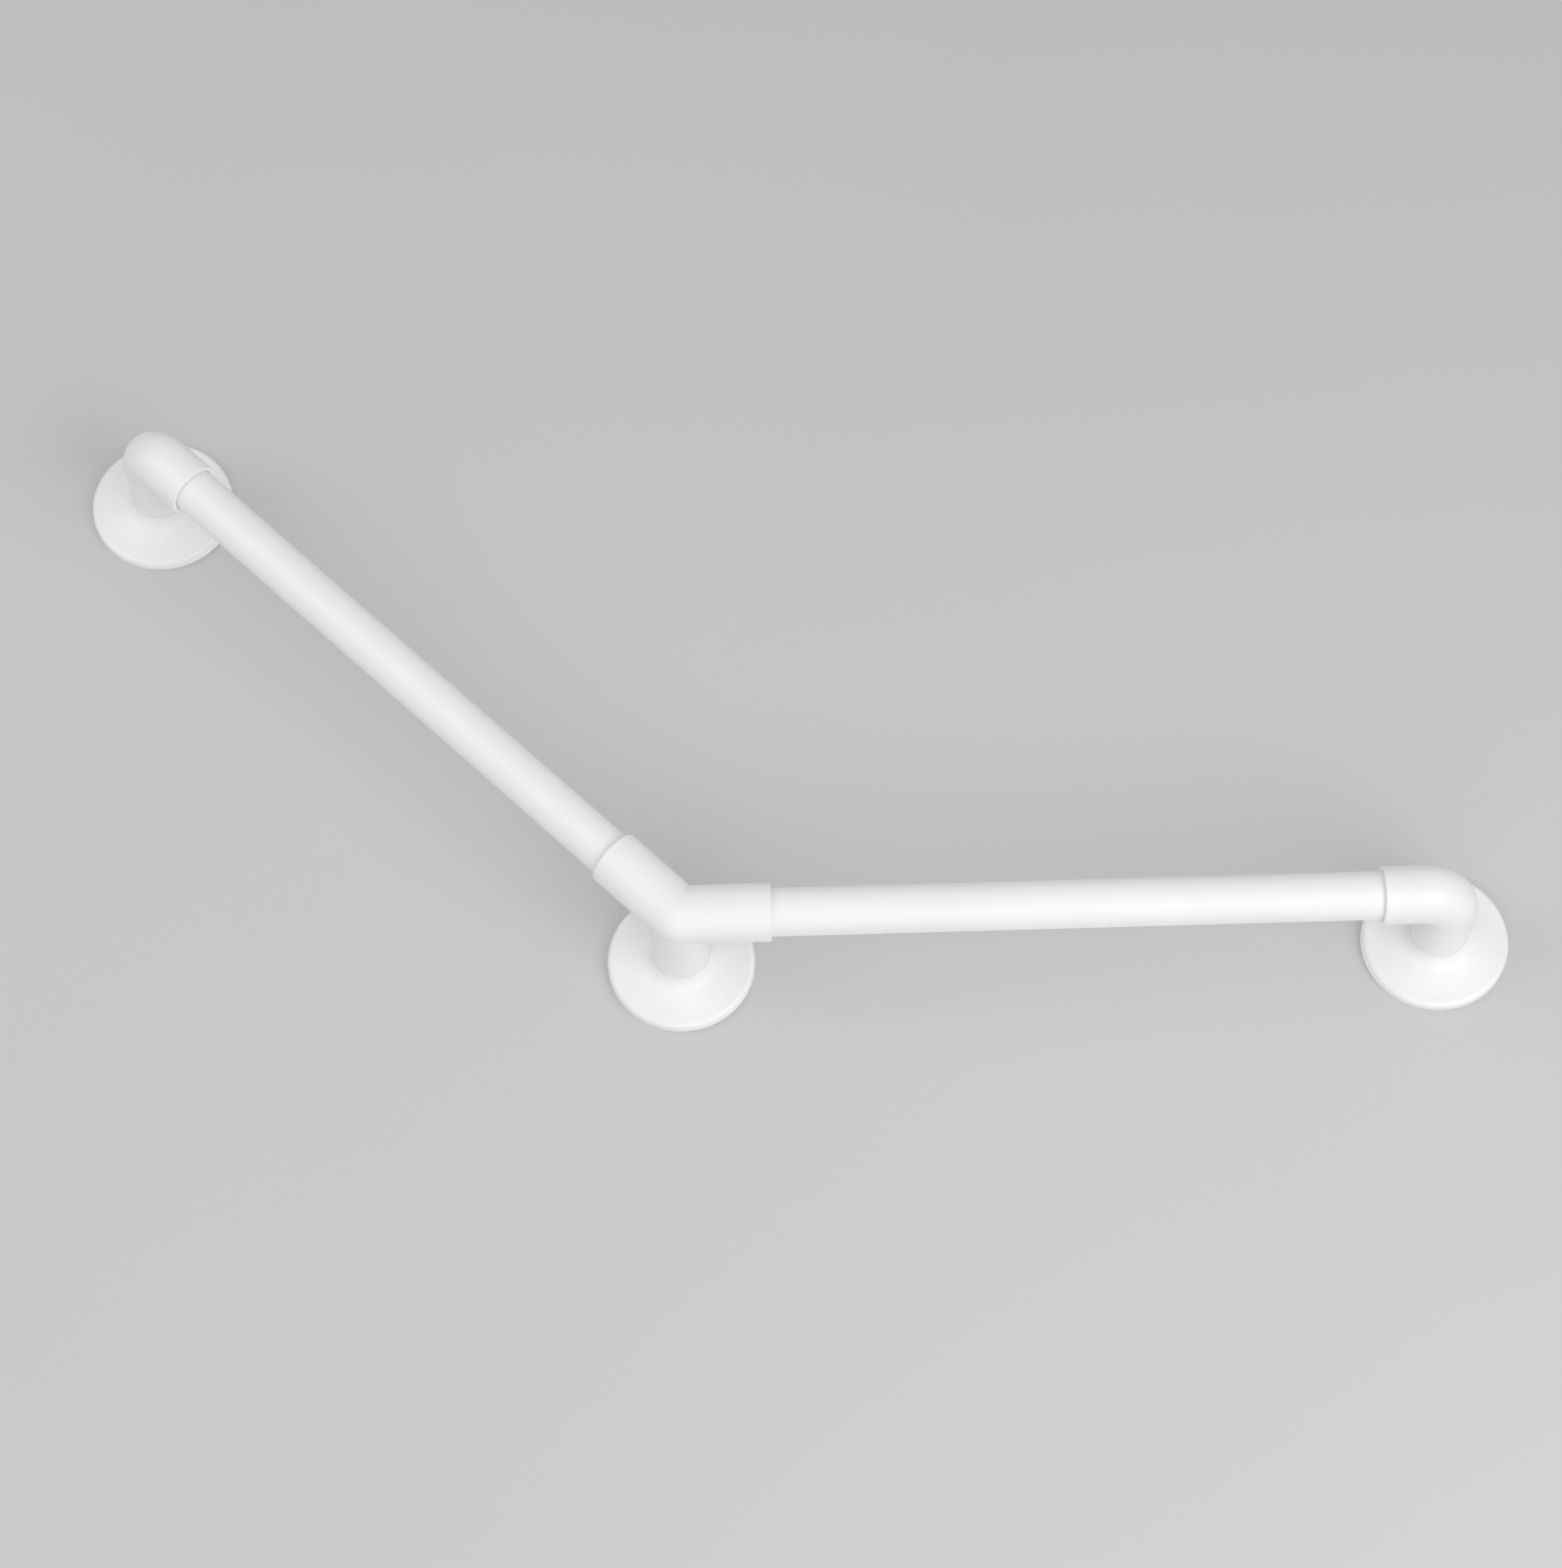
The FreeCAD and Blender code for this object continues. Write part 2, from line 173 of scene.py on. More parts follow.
def mouldedSkinGroup():
    # Soft tone patches, a satin gloss that varies and a fine moulded grain
    tree, start, end = newTree("mouldedSkin", "ShaderNodeTree", [
        ("Vector", "NodeSocketVector", None),
        ("Light Tone", "NodeSocketColor", (0.9, 0.9, 0.9, 1)),
        ("Dark Tone", "NodeSocketColor", (0.8, 0.8, 0.8, 1)),
        ("Patches per Metre", "NodeSocketFloat", 12.0),
        ("Grain per Metre", "NodeSocketFloat", 900.0),
        ("Low Roughness", "NodeSocketFloat", 0.34),
        ("High Roughness", "NodeSocketFloat", 0.44),
    ], [("Color", "NodeSocketColor"), ("Roughness", "NodeSocketFloat"), ("Height", "NodeSocketFloat")])
    link = tree.links.new
    patches = addNode(tree, "ShaderNodeTexNoise", None, {"Detail": 3.0, "Roughness": 0.55})
    link(start.outputs["Vector"], patches.inputs["Vector"])
    link(start.outputs["Patches per Metre"], patches.inputs["Scale"])
    spread = addNode(tree, "ShaderNodeMapRange", {"interpolation_type": "SMOOTHSTEP"},
                     groupPattern["noiseRange"])
    link(patches.outputs["Fac"], spread.inputs["Value"])
    tone = addNode(tree, "ShaderNodeMix", {"data_type": "RGBA"})
    link(spread.outputs["Result"], tone.inputs[0])
    link(start.outputs["Light Tone"], tone.inputs[6])
    link(start.outputs["Dark Tone"], tone.inputs[7])
    link(tone.outputs[2], end.inputs["Color"])
    handled = addNode(tree, "ShaderNodeTexNoise", None, {
        "Scale": groupPattern["handlingPerMetre"], "Detail": 4.0, "Roughness": 0.6})
    link(start.outputs["Vector"], handled.inputs["Vector"])
    gloss = addNode(tree, "ShaderNodeMapRange", None, groupPattern["noiseRange"])
    link(handled.outputs["Fac"], gloss.inputs["Value"])
    link(start.outputs["Low Roughness"], gloss.inputs["To Min"])
    link(start.outputs["High Roughness"], gloss.inputs["To Max"])
    link(gloss.outputs["Result"], end.inputs["Roughness"])
    grain = addNode(tree, "ShaderNodeTexNoise", None, {"Detail": 2.0, "Roughness": 0.5})
    link(start.outputs["Vector"], grain.inputs["Vector"])
    link(start.outputs["Grain per Metre"], grain.inputs["Scale"])
    sink = addNode(tree, "ShaderNodeTexNoise", None, {
        "Scale": groupPattern["sinkPerMetre"], "Detail": 1.0})
    link(start.outputs["Vector"], sink.inputs["Vector"])
    swell = addNode(tree, "ShaderNodeMath", {"operation": "MULTIPLY_ADD"}, {
        1: groupPattern["sinkShare"]})
    link(sink.outputs["Fac"], swell.inputs[0])
    link(grain.outputs["Fac"], swell.inputs[2])
    link(swell.outputs[0], end.inputs["Height"])
    return tree


def drawLinesGroup():
    # Long fine lines along X, as drawing or extruding a tube leaves them
    tree, start, end = newTree("drawLines", "ShaderNodeTree", [
        ("Vector", "NodeSocketVector", None),
        ("Lines per Metre", "NodeSocketFloat", 700.0),
        ("Stretch", "NodeSocketFloat", 0.02),
    ], [("Lines", "NodeSocketFloat"), ("Fine Lines", "NodeSocketFloat")])
    link = tree.links.new
    apart = addNode(tree, "ShaderNodeSeparateXYZ")
    link(start.outputs["Vector"], apart.inputs[0])
    longWay = addNode(tree, "ShaderNodeMath", {"operation": "MULTIPLY"})
    link(apart.outputs["X"], longWay.inputs[0])
    link(start.outputs["Stretch"], longWay.inputs[1])
    together = addNode(tree, "ShaderNodeCombineXYZ")
    link(longWay.outputs[0], together.inputs["X"])
    link(apart.outputs["Y"], together.inputs["Y"])
    link(apart.outputs["Z"], together.inputs["Z"])
    for label, factor in (("Lines", 1.0), ("Fine Lines", groupPattern["fineLines"])):
        finer = addNode(tree, "ShaderNodeMath", {"operation": "MULTIPLY"}, {1: factor})
        link(start.outputs["Lines per Metre"], finer.inputs[0])
        noise = addNode(tree, "ShaderNodeTexNoise", None, {"Detail": 3.0, "Roughness": 0.6})
        link(together.outputs[0], noise.inputs["Vector"])
        link(finer.outputs[0], noise.inputs["Scale"])
        link(noise.outputs["Fac"], end.inputs[label])
    return tree


def castGrainGroup():
    # Pitted grain with cloudy tone, for cast and plated metal
    tree, start, end = newTree("castGrain", "ShaderNodeTree", [
        ("Vector", "NodeSocketVector", None),
        ("Light Tone", "NodeSocketColor", (0.6, 0.6, 0.6, 1)),
        ("Dark Tone", "NodeSocketColor", (0.45, 0.45, 0.45, 1)),
        ("Clouds per Metre", "NodeSocketFloat", 120.0),
        ("Grain per Metre", "NodeSocketFloat", 1500.0),
        ("Low Roughness", "NodeSocketFloat", 0.4),
        ("High Roughness", "NodeSocketFloat", 0.6),
    ], [("Color", "NodeSocketColor"), ("Roughness", "NodeSocketFloat"), ("Height", "NodeSocketFloat")])
    link = tree.links.new
    clouds = addNode(tree, "ShaderNodeTexNoise", None, {
        "Detail": 5.0, "Roughness": 0.6, "Distortion": 0.4})
    link(start.outputs["Vector"], clouds.inputs["Vector"])
    link(start.outputs["Clouds per Metre"], clouds.inputs["Scale"])
    tone = addNode(tree, "ShaderNodeMix", {"data_type": "RGBA"})
    link(clouds.outputs["Fac"], tone.inputs[0])
    link(start.outputs["Light Tone"], tone.inputs[6])
    link(start.outputs["Dark Tone"], tone.inputs[7])
    link(tone.outputs[2], end.inputs["Color"])
    gloss = addNode(tree, "ShaderNodeMapRange", None, groupPattern["noiseRange"])
    link(clouds.outputs["Fac"], gloss.inputs["Value"])
    link(start.outputs["Low Roughness"], gloss.inputs["To Min"])
    link(start.outputs["High Roughness"], gloss.inputs["To Max"])
    link(gloss.outputs["Result"], end.inputs["Roughness"])
    pits = addNode(tree, "ShaderNodeTexVoronoi", {"feature": "SMOOTH_F1"})
    link(start.outputs["Vector"], pits.inputs["Vector"])
    link(start.outputs["Grain per Metre"], pits.inputs["Scale"])
    link(pits.outputs["Distance"], end.inputs["Height"])
    return tree


mouldedSkin = mouldedSkinGroup()
drawLines = drawLinesGroup()
castGrain = castGrainGroup()
print("shader groups made")


# Finishes
def newFinish(name, settings):
    material = bpy.data.materials.new(name)
    material.use_nodes = True
    tree = material.node_tree
    shader = tree.nodes["Principled BSDF"]
    for socket, value in settings.items():
        shader.inputs[socket].default_value = value
    place = addNode(tree, "ShaderNodeTexCoord")
    return material, tree, shader, place.outputs["Object"]


def placeGroup(tree, group, vector, values):
    node = addNode(tree, "ShaderNodeGroup", {"node_tree": group}, values)
    tree.links.new(vector, node.inputs["Vector"])
    return node


def addBump(tree, shader, height, distance, strength=1.0):
    bump = addNode(tree, "ShaderNodeBump", None, {"Strength": strength, "Distance": distance})
    tree.links.new(height, bump.inputs["Height"])
    tree.links.new(bump.outputs["Normal"], shader.inputs["Normal"])


def turnedWith(tree, vector, angle):
    # Object coordinates with X along a leg
    mapping = addNode(tree, "ShaderNodeMapping", {"vector_type": "TEXTURE"})
    mapping.inputs["Rotation"].default_value = (0, -angle, 0)
    tree.links.new(vector, mapping.inputs["Vector"])
    return mapping.outputs["Vector"]


whiteMoulding = {
    "fitting": {
        "Light Tone": (0.872, 0.872, 0.872, 1),
        "Dark Tone": (0.842, 0.842, 0.840, 1),
        "Patches per Metre": 14.0,
        "Grain per Metre": 950.0,
        "Low Roughness": 0.35,
        "High Roughness": 0.44,
    },
    "rose": {
        "Light Tone": (0.886, 0.886, 0.882, 1),
        "Dark Tone": (0.856, 0.856, 0.850, 1),
        "Patches per Metre": 22.0,
        "Grain per Metre": 1100.0,
        "Low Roughness": 0.37,
        "High Roughness": 0.47,
    },
    "grainDepth": 0.000006,
}


def mouldedFinish(name, values, kit):
    material, tree, shader, vector = newFinish(name, {"IOR": 1.5, "Coat Weight": 0.0})
    skin = placeGroup(tree, mouldedSkin, vector, values)
    tree.links.new(skin.outputs["Color"], shader.inputs["Base Color"])
    tree.links.new(skin.outputs["Roughness"], shader.inputs["Roughness"])
    addBump(tree, shader, skin.outputs["Height"], kit["grainDepth"])
    return material


sleeveSkin = {
    "skin": {
        "Light Tone": (0.876, 0.876, 0.878, 1),
        "Dark Tone": (0.850, 0.850, 0.850, 1),
        "Patches per Metre": 9.0,
        "Grain per Metre": 700.0,
        "Low Roughness": 0.36,
        "High Roughness": 0.42,
    },
    "lines": {"Lines per Metre": 420.0, "Stretch": 0.012},
    "lineShare": 0.35,
    "lineRoughness": 0.06,
    "depth": 0.000005,
}


def sleeveFinish(name, angle, kit):
    material, tree, shader, vector = newFinish(name, {"IOR": 1.5})
    link = tree.links.new
    skin = placeGroup(tree, mouldedSkin, vector, kit["skin"])
    lines = placeGroup(tree, drawLines, turnedWith(tree, vector, angle), kit["lines"])
    link(skin.outputs["Color"], shader.inputs["Base Color"])
    rougher = addNode(tree, "ShaderNodeMath", {"operation": "MULTIPLY_ADD"}, {1: kit["lineRoughness"]})
    link(lines.outputs["Fine Lines"], rougher.inputs[0])
    link(skin.outputs["Roughness"], rougher.inputs[2])
    link(rougher.outputs[0], shader.inputs["Roughness"])
    height = addNode(tree, "ShaderNodeMix", {"data_type": "FLOAT"}, {0: kit["lineShare"]})
    link(skin.outputs["Height"], height.inputs[2])
    link(lines.outputs["Lines"], height.inputs[3])
    addBump(tree, shader, height.outputs[0], kit["depth"])
    return material


drawnAluminium = {
    "light": (0.66, 0.67, 0.68, 1),
    "dark": (0.56, 0.57, 0.58, 1),
    "lines": {"Lines per Metre": 900.0, "Stretch": 0.01},
    "roughness": {"To Min": 0.26, "To Max": 0.46},
    "depth": 0.000012,
}


def coreFinish(name, angle, kit):
    material, tree, shader, vector = newFinish(name, {"Metallic": 1.0})
    link = tree.links.new
    lines = placeGroup(tree, drawLines, turnedWith(tree, vector, angle), kit["lines"])
    tone = addNode(tree, "ShaderNodeMix", {"data_type": "RGBA"}, {6: kit["light"], 7: kit["dark"]})
    link(lines.outputs["Lines"], tone.inputs[0])
    link(tone.outputs[2], shader.inputs["Base Color"])
    gloss = addNode(tree, "ShaderNodeMapRange", None, kit["roughness"])
    link(lines.outputs["Fine Lines"], gloss.inputs["Value"])
    link(gloss.outputs["Result"], shader.inputs["Roughness"])
    addBump(tree, shader, lines.outputs["Fine Lines"], kit["depth"])
    return material


metals = {
    "castAluminium": {
        "Light Tone": (0.62, 0.63, 0.64, 1),
        "Dark Tone": (0.46, 0.47, 0.48, 1),
        "Clouds per Metre": 90.0,
        "Grain per Metre": 1400.0,
        "Low Roughness": 0.42,
        "High Roughness": 0.6,
    },
    "zincPlate": {
        "Light Tone": (0.68, 0.70, 0.73, 1),
        "Dark Tone": (0.55, 0.56, 0.56, 1),
        "Clouds per Metre": 260.0,
        "Grain per Metre": 3200.0,
        "Low Roughness": 0.24,
        "High Roughness": 0.38,
    },
    "turnedBrass": {
        "Light Tone": (0.78, 0.61, 0.29, 1),
        "Dark Tone": (0.66, 0.48, 0.20, 1),
        "Clouds per Metre": 300.0,
        "Grain per Metre": 2600.0,
        "Low Roughness": 0.26,
        "High Roughness": 0.4,
    },
    "pitDepth": {"castAluminium": 0.00003, "zincPlate": 0.000006, "turnedBrass": 0.000008},
}


def metalFinish(name, kit):
    material, tree, shader, vector = newFinish(name, {"Metallic": 1.0})
    grain = placeGroup(tree, castGrain, vector, kit[name])
    tree.links.new(grain.outputs["Color"], shader.inputs["Base Color"])
    tree.links.new(grain.outputs["Roughness"], shader.inputs["Roughness"])
    addBump(tree, shader, grain.outputs["Height"], kit["pitDepth"][name])
    return material


fittingWhite = mouldedFinish("fittingWhite", whiteMoulding["fitting"], whiteMoulding)
roseWhite = mouldedFinish("roseWhite", whiteMoulding["rose"], whiteMoulding)
sleeveWhite = {}
for leg, turn in legTurns.items():
    sleeveWhite[leg] = sleeveFinish(leg + "SleeveWhite", turn, sleeveSkin)
coreAluminium = {}
for leg, turn in legTurns.items():
    coreAluminium[leg] = coreFinish(leg + "CoreAluminium", turn, drawnAluminium)
castAluminium = metalFinish("castAluminium", metals)
zincPlate = metalFinish("zincPlate", metals)
turnedBrass = metalFinish("turnedBrass", metals)
print("finishes made")

nodeFinishes = {
    "upper_end_elbow": fittingWhite,
    "lower_end_elbow": fittingWhite,
    "level_core_tube": coreAluminium["level"],
    "sloping_core_tube": coreAluminium["sloping"],
    "corner_wall_plate": castAluminium,
    "upper_wall_plate": castAluminium,
    "lower_wall_plate": castAluminium,
    "corner_stem_insert": turnedBrass,
    "upper_stem_insert": turnedBrass,
    "lower_stem_insert": turnedBrass,
}
for nodeName, finish in nodeFinishes.items():
    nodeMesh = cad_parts[nodeName].data
    nodeMesh.materials.clear()
    nodeMesh.materials.append(finish)
print("finishes put on the carried-over nodes")


# Turned pieces: a half section swept round a circle
def turnedPieceTree():
    tree, start, end = newTree("turnedPiece", "GeometryNodeTree", [
        ("Geometry", "NodeSocketGeometry", None),
        ("Middle Radius", "NodeSocketFloat", 0.02),
        ("Sides", "NodeSocketInt", 128),
        ("Round Steps", "NodeSocketInt", 6),
        ("Finish", "NodeSocketMaterial", None),
    ], [("Geometry", "NodeSocketGeometry")])
    link = tree.links.new
    section = addNode(tree, "GeometryNodeMeshToCurve")
    link(start.outputs["Geometry"], section.inputs["Mesh"])
    rounds = addNode(tree, "GeometryNodeInputNamedAttribute", {"data_type": "FLOAT"}, {
        "Name": "rounding"})
    fillet = addNode(tree, "GeometryNodeFilletCurve", {"mode": "POLY"})
    link(section.outputs["Curve"], fillet.inputs["Curve"])
    link(start.outputs["Round Steps"], fillet.inputs["Count"])
    link(rounds.outputs["Attribute"], fillet.inputs["Radius"])
    ring = addNode(tree, "GeometryNodeCurvePrimitiveCircle", {"mode": "RADIUS"})
    link(start.outputs["Sides"], ring.inputs["Resolution"])
    link(start.outputs["Middle Radius"], ring.inputs["Radius"])
    sweep = addNode(tree, "GeometryNodeCurveToMesh")
    link(ring.outputs["Curve"], sweep.inputs["Curve"])
    link(fillet.outputs["Curve"], sweep.inputs["Profile Curve"])
    realize = addNode(tree, "GeometryNodeRealizeInstances")
    link(sweep.outputs["Mesh"], realize.inputs["Geometry"])
    finish = addNode(tree, "GeometryNodeSetMaterial")
    link(realize.outputs["Geometry"], finish.inputs["Geometry"])
    link(start.outputs["Finish"], finish.inputs["Material"])
    link(finish.outputs["Geometry"], end.inputs["Geometry"])
    return tree


turnedPiece = turnedPieceTree()


def plainMeshFrom(holder, name):
    # The evaluated holder as a plain mesh; the holder and its modifier are removed
    graph = bpy.context.evaluated_depsgraph_get()
    mesh = bpy.data.meshes.new_from_object(holder.evaluated_get(graph))
    source = holder.data
    holder.modifiers.clear()
    bpy.data.objects.remove(holder)
    bpy.data.meshes.remove(source)
    mesh.name = name
    return mesh


weldDistance = 1e-7


def closeAndSmooth(mesh, sharpAngle):
    work = bmesh.new()
    work.from_mesh(mesh)
    bmesh.ops.remove_doubles(work, verts=work.verts, dist=weldDistance)
    bmesh.ops.recalc_face_normals(work, faces=work.faces)
    for face in work.faces:
        face.smooth = True
    work.to_mesh(mesh)
    work.free()
    mesh.set_sharp_from_angle(angle=math.radians(sharpAngle))


def turnPiece(name, outline, sides, roundSteps, finish, sharpAngle=32):
    # outline: (radius, height, rounding) corners of the half section, in metres
    middle = (min(p[0] for p in outline) + max(p[0] for p in outline)) / 2
    section = bpy.data.meshes.new(name + "Section")
    # The sweep turns Y down, so heights go in with their sign changed
    corners = [(radius - middle, -height, 0) for radius, height, rounding in outline]
    edges = [(i, (i + 1) % len(corners)) for i in range(len(corners))]
    section.from_pydata(corners, edges, [])
    rounding = section.attributes.new("rounding", "FLOAT", "POINT")
    rounding.data.foreach_set("value", [p[2] for p in outline])
    holder = bpy.data.objects.new(name + "Holder", section)
    scene.collection.objects.link(holder)
    modifier = holder.modifiers.new("turned", "NODES")
    modifier.node_group = turnedPiece
    for label, value in (("Middle Radius", middle), ("Sides", sides), ("Round Steps", roundSteps),
                         ("Finish", finish)):
        modifier[inputId(turnedPiece, label)] = value
    mesh = plainMeshFrom(holder, name)
    closeAndSmooth(mesh, sharpAngle)
    return mesh


def addPiece(name, mesh, body, nodes):
    piece = bpy.data.objects.new(name, mesh)
    scene.collection.objects.link(piece)
    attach(piece, body)
    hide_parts(*nodes)
    return piece


# Stands a turned piece up: its axis comes out of the wall
outOfWall = Matrix.Rotation(math.radians(90), 4, "X")


# Roses: flared covers that slide on the stems
roseShape = {
    "wall": 0.0018,
    "rimHeight": 0.006,       # wall to the corner where rim and face meet
    "faceRun": 0.01695,       # from that corner in to the cove
    "faceRise": 0.003,
    "faceSag": 0.0006,        # dip of the face under a straight cone
    "edgeRound": 0.003,
    "faceClear": 1.1,         # the face's points start this many edge rounds in
    "footRound": 0.0004,
    "neckGap": 0.00004,       # the lip's free gap round the stem
    "lipThickness": 0.00025,
    "lipRound": 0.0001,
    "faceSteps": 20,
    "coveSteps": 20,
    "roundSteps": 6,
    "sides": 160,
}


def roseOutline(kit, rimRadius, foot, height, neck):
    # Half section of a rose: rim, face that sags a little, cove up the stem, hollow underside
    corner = Vector((rimRadius, kit["rimHeight"]))
    chord = Vector((-kit["faceRun"], kit["faceRise"]))
    half = chord.length / 2
    faceArc = (half * half + kit["faceSag"] ** 2) / (2 * kit["faceSag"])
    overFace = Vector((chord.y, -chord.x)).normalized()
    faceMiddle = corner + chord / 2 + overFace * (faceArc - kit["faceSag"])

    # The cove touches the face and ends upright at the lip
    lip = neck + kit["lipThickness"]
    side = lip - faceMiddle.x
    above = height - faceMiddle.y
    coveArc = (faceArc ** 2 - side ** 2 - above ** 2) / (2 * (side + faceArc))
    coveMiddle = Vector((lip + coveArc, height))
    meeting = faceMiddle + (coveMiddle - faceMiddle).normalized() * faceArc

    def faceHeight(radius, drop):
        return faceMiddle.y - math.sqrt((faceArc + drop) ** 2 - (radius - faceMiddle.x) ** 2)

    def coveCurve(first, last, drop):
        # Points of the cove's arc between two angles, both included
        points = []
        for step in range(kit["coveSteps"] + 1):
            angle = first + (last - first) * step / kit["coveSteps"]
            arm = Vector((math.cos(angle), math.sin(angle))) * (coveArc + drop)
            points.append((coveMiddle.x + arm.x, coveMiddle.y + arm.y, 0))
        return points

    wall = kit["wall"]
    innerRim = rimRadius - wall
    lean = meeting - coveMiddle
    meetingAngle = math.atan2(lean.y, lean.x) % math.tau
    neckAngle = math.tau - math.acos((neck - coveMiddle.x) / (coveArc + wall))
    faceStart = rimRadius - kit["edgeRound"] * kit["faceClear"]
    underStart = coveMiddle.x + (coveArc + wall) * math.cos(meetingAngle)
    steps = kit["faceSteps"]
    outline = [(innerRim, foot, kit["footRound"]), (rimRadius, foot, kit["footRound"])]
    outline.append((rimRadius, corner.y, kit["edgeRound"]))
    for step in range(steps):
        radius = faceStart + (meeting.x - faceStart) * step / steps
        outline.append((radius, faceHeight(radius, 0), 0))
    outline += coveCurve(meetingAngle, math.pi, 0)[:-1]
    outline.append((lip, height, kit["lipRound"]))
    outline.append((neck, height, kit["lipRound"]))
    outline += coveCurve(neckAngle, meetingAngle, wall)
    for step in range(1, steps):
        radius = underStart + (innerRim - underStart) * step / steps
        outline.append((radius, faceHeight(radius, wall), 0))
    outline.append((innerRim, faceHeight(innerRim, wall), kit["footRound"]))
    return outline


def makeRoses(kit):
    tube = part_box("level_grip_sleeve")
    for station in ("corner", "upper", "lower"):
        low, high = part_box(station + "_rose")
        stemNode = "corner_fitting" if station == "corner" else station + "_end_elbow"
        # A stem is as thick as its collars, which reach that far beyond the tube's axis
        stemRadius = -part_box(stemNode)[0].y + (tube[0].y + tube[1].y) / 2
        rimRadius = (high.x - low.x) / 2
        outline = roseOutline(kit, rimRadius, -high.y, -low.y, stemRadius + kit["neckGap"])
        mesh = turnPiece(station + "Rose", outline, kit["sides"], kit["roundSteps"], roseWhite)
        middle = Vector(((low.x + high.x) / 2, 0, (low.z + high.z) / 2))
        mesh.transform(Matrix.Translation(middle) @ outOfWall)
        addPiece(station + "Rose", mesh, station + "_cover", [station + "_rose"])


makeRoses(roseShape)
print("roses made")


# Corner fitting: its carried-over shape, merged, without the empty faces at the crown of the crease
fittingRepair = {
    "joinDistance": 0.000001,
    "emptyArea": 1e-12,
    "spotsPerMetre": 1e6,     # points this close count as one when normals are looked up
    "goodLean": 0.8,          # least agreement of a corner normal with its face
}


def repairedCopy(nodeName, name, kit, finish):
    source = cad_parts[nodeName].data

    def spot(point):
        return tuple(round(part * kit["spotsPerMetre"]) for part in point)

    around = {}
    corners = {}
    for face in source.polygons:
        if face.area < kit["emptyArea"]:
            continue
        spots = [spot(source.vertices[v].co) for v in face.vertices]
        normals = [source.corner_normals[loop].vector.copy() for loop in face.loop_indices]
        corners[frozenset(spots)] = dict(zip(spots, normals))
        for where in spots:
            around.setdefault(where, []).append(face.normal.copy())
    work = bmesh.new()
    work.from_mesh(source)
    empty = [face for face in work.faces if face.calc_area() < kit["emptyArea"]]
    bmesh.ops.delete(work, geom=empty, context="FACES_ONLY")
    bmesh.ops.remove_doubles(work, verts=work.verts, dist=kit["joinDistance"])
    mesh = bpy.data.meshes.new(name)
    work.to_mesh(mesh)
    work.free()
    normals = []
    for face in mesh.polygons:
        spots = [spot(mesh.vertices[v].co) for v in face.vertices]
        known = corners.get(frozenset(spots), {})
        for where in spots:
            normal = known.get(where)
            if normal is None or normal.normalized().dot(face.normal) < kit["goodLean"]:
                near = [other for other in around.get(where, [face.normal])
                        if other.dot(face.normal) > kit["goodLean"]]
                normal = sum(near, Vector()) if near else face.normal
            normals.append(normal.normalized())
    for face in mesh.polygons:
        face.use_smooth = True
    mesh.normals_split_custom_set(normals)
    mesh.materials.clear()
    mesh.materials.append(finish)
    return mesh


cornerMesh = repairedCopy("corner_fitting", "cornerFitting", fittingRepair, fittingWhite)
addPiece("cornerFitting", cornerMesh, "bar", ["corner_fitting"])
print("corner fitting made")


# Grip sleeves: smooth white tubes over the core tubes
sleeveShape = {
    "endRound": 0.0003,
    "sides": 192,
    "rings": 24,
    "roundSteps": 4,
    "boreRadius": 0.01105,
}


def makeSleeves(kit):
    low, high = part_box("level_grip_sleeve")
    radius = (high.z - low.z) / 2
    length = high.x - low.x
    outline = [(kit["boreRadius"], 0, kit["endRound"])]
    outline += [(kit["boreRadius"], length * ring / kit["rings"], 0) for ring in range(1, kit["rings"])]
    outline += [(kit["boreRadius"], length, kit["endRound"]), (radius, length, kit["endRound"])]
    outline += [(radius, length * (1 - ring / kit["rings"]), 0) for ring in range(1, kit["rings"])]
    outline += [(radius, 0, kit["endRound"])]
    laidAlong = Matrix.Rotation(math.radians(90), 4, "Y")
    start = Matrix.Translation((low.x, (low.y + high.y) / 2, 0))
    for leg, turn in legTurns.items():
        mesh = turnPiece(leg + "Sleeve", outline, kit["sides"], kit["roundSteps"], sleeveWhite[leg])
        mesh.transform(Matrix.Rotation(-turn, 4, "Y") @ start @ laidAlong)
        addPiece(leg + "Sleeve", mesh, "bar", [leg + "_grip_sleeve"])


makeSleeves(sleeveShape)
print("sleeves made")


# Screws and bolts: one grid of rings each, with a real thread and drive recess
fastenerDetail = {
    "pointDepth": 0.12,           # the recess ends in a small cone: parts of the drive's size
    "pointRadius": 0.08,
    "driveEdge": 0.00012,         # worn edge of the recess
    "driveEdgeWidth": 0.0002,
    "faceEdge": 0.0003,           # broken edge of the head's face
    "rimEdge": 0.00008,
    "threadSlope": 2.6,
    "sharpAngle": 38,
    "solidsApart": 0.03,          # the solids of one node stand further apart than this
}


def ridge(share):
    # Thread section over one pitch: a V with a flat root
    return max(0.0, 1 - abs(share - 0.5) * fastenerDetail["threadSlope"])


def driveRadius(kit, angle):
    if kit["drive"] == "hexagon":
        part = math.tau / 6
        return kit["driveSize"] / 2 / math.cos((angle % part) - part / 2)
    part = math.tau / 4
    lean = abs((angle + part / 2) % part - part / 2)
    across = kit["driveSize"] / 2 / max(math.sin(lean), 1e-6)
    return min(kit["driveLength"] / 2 / math.cos(lean), across)


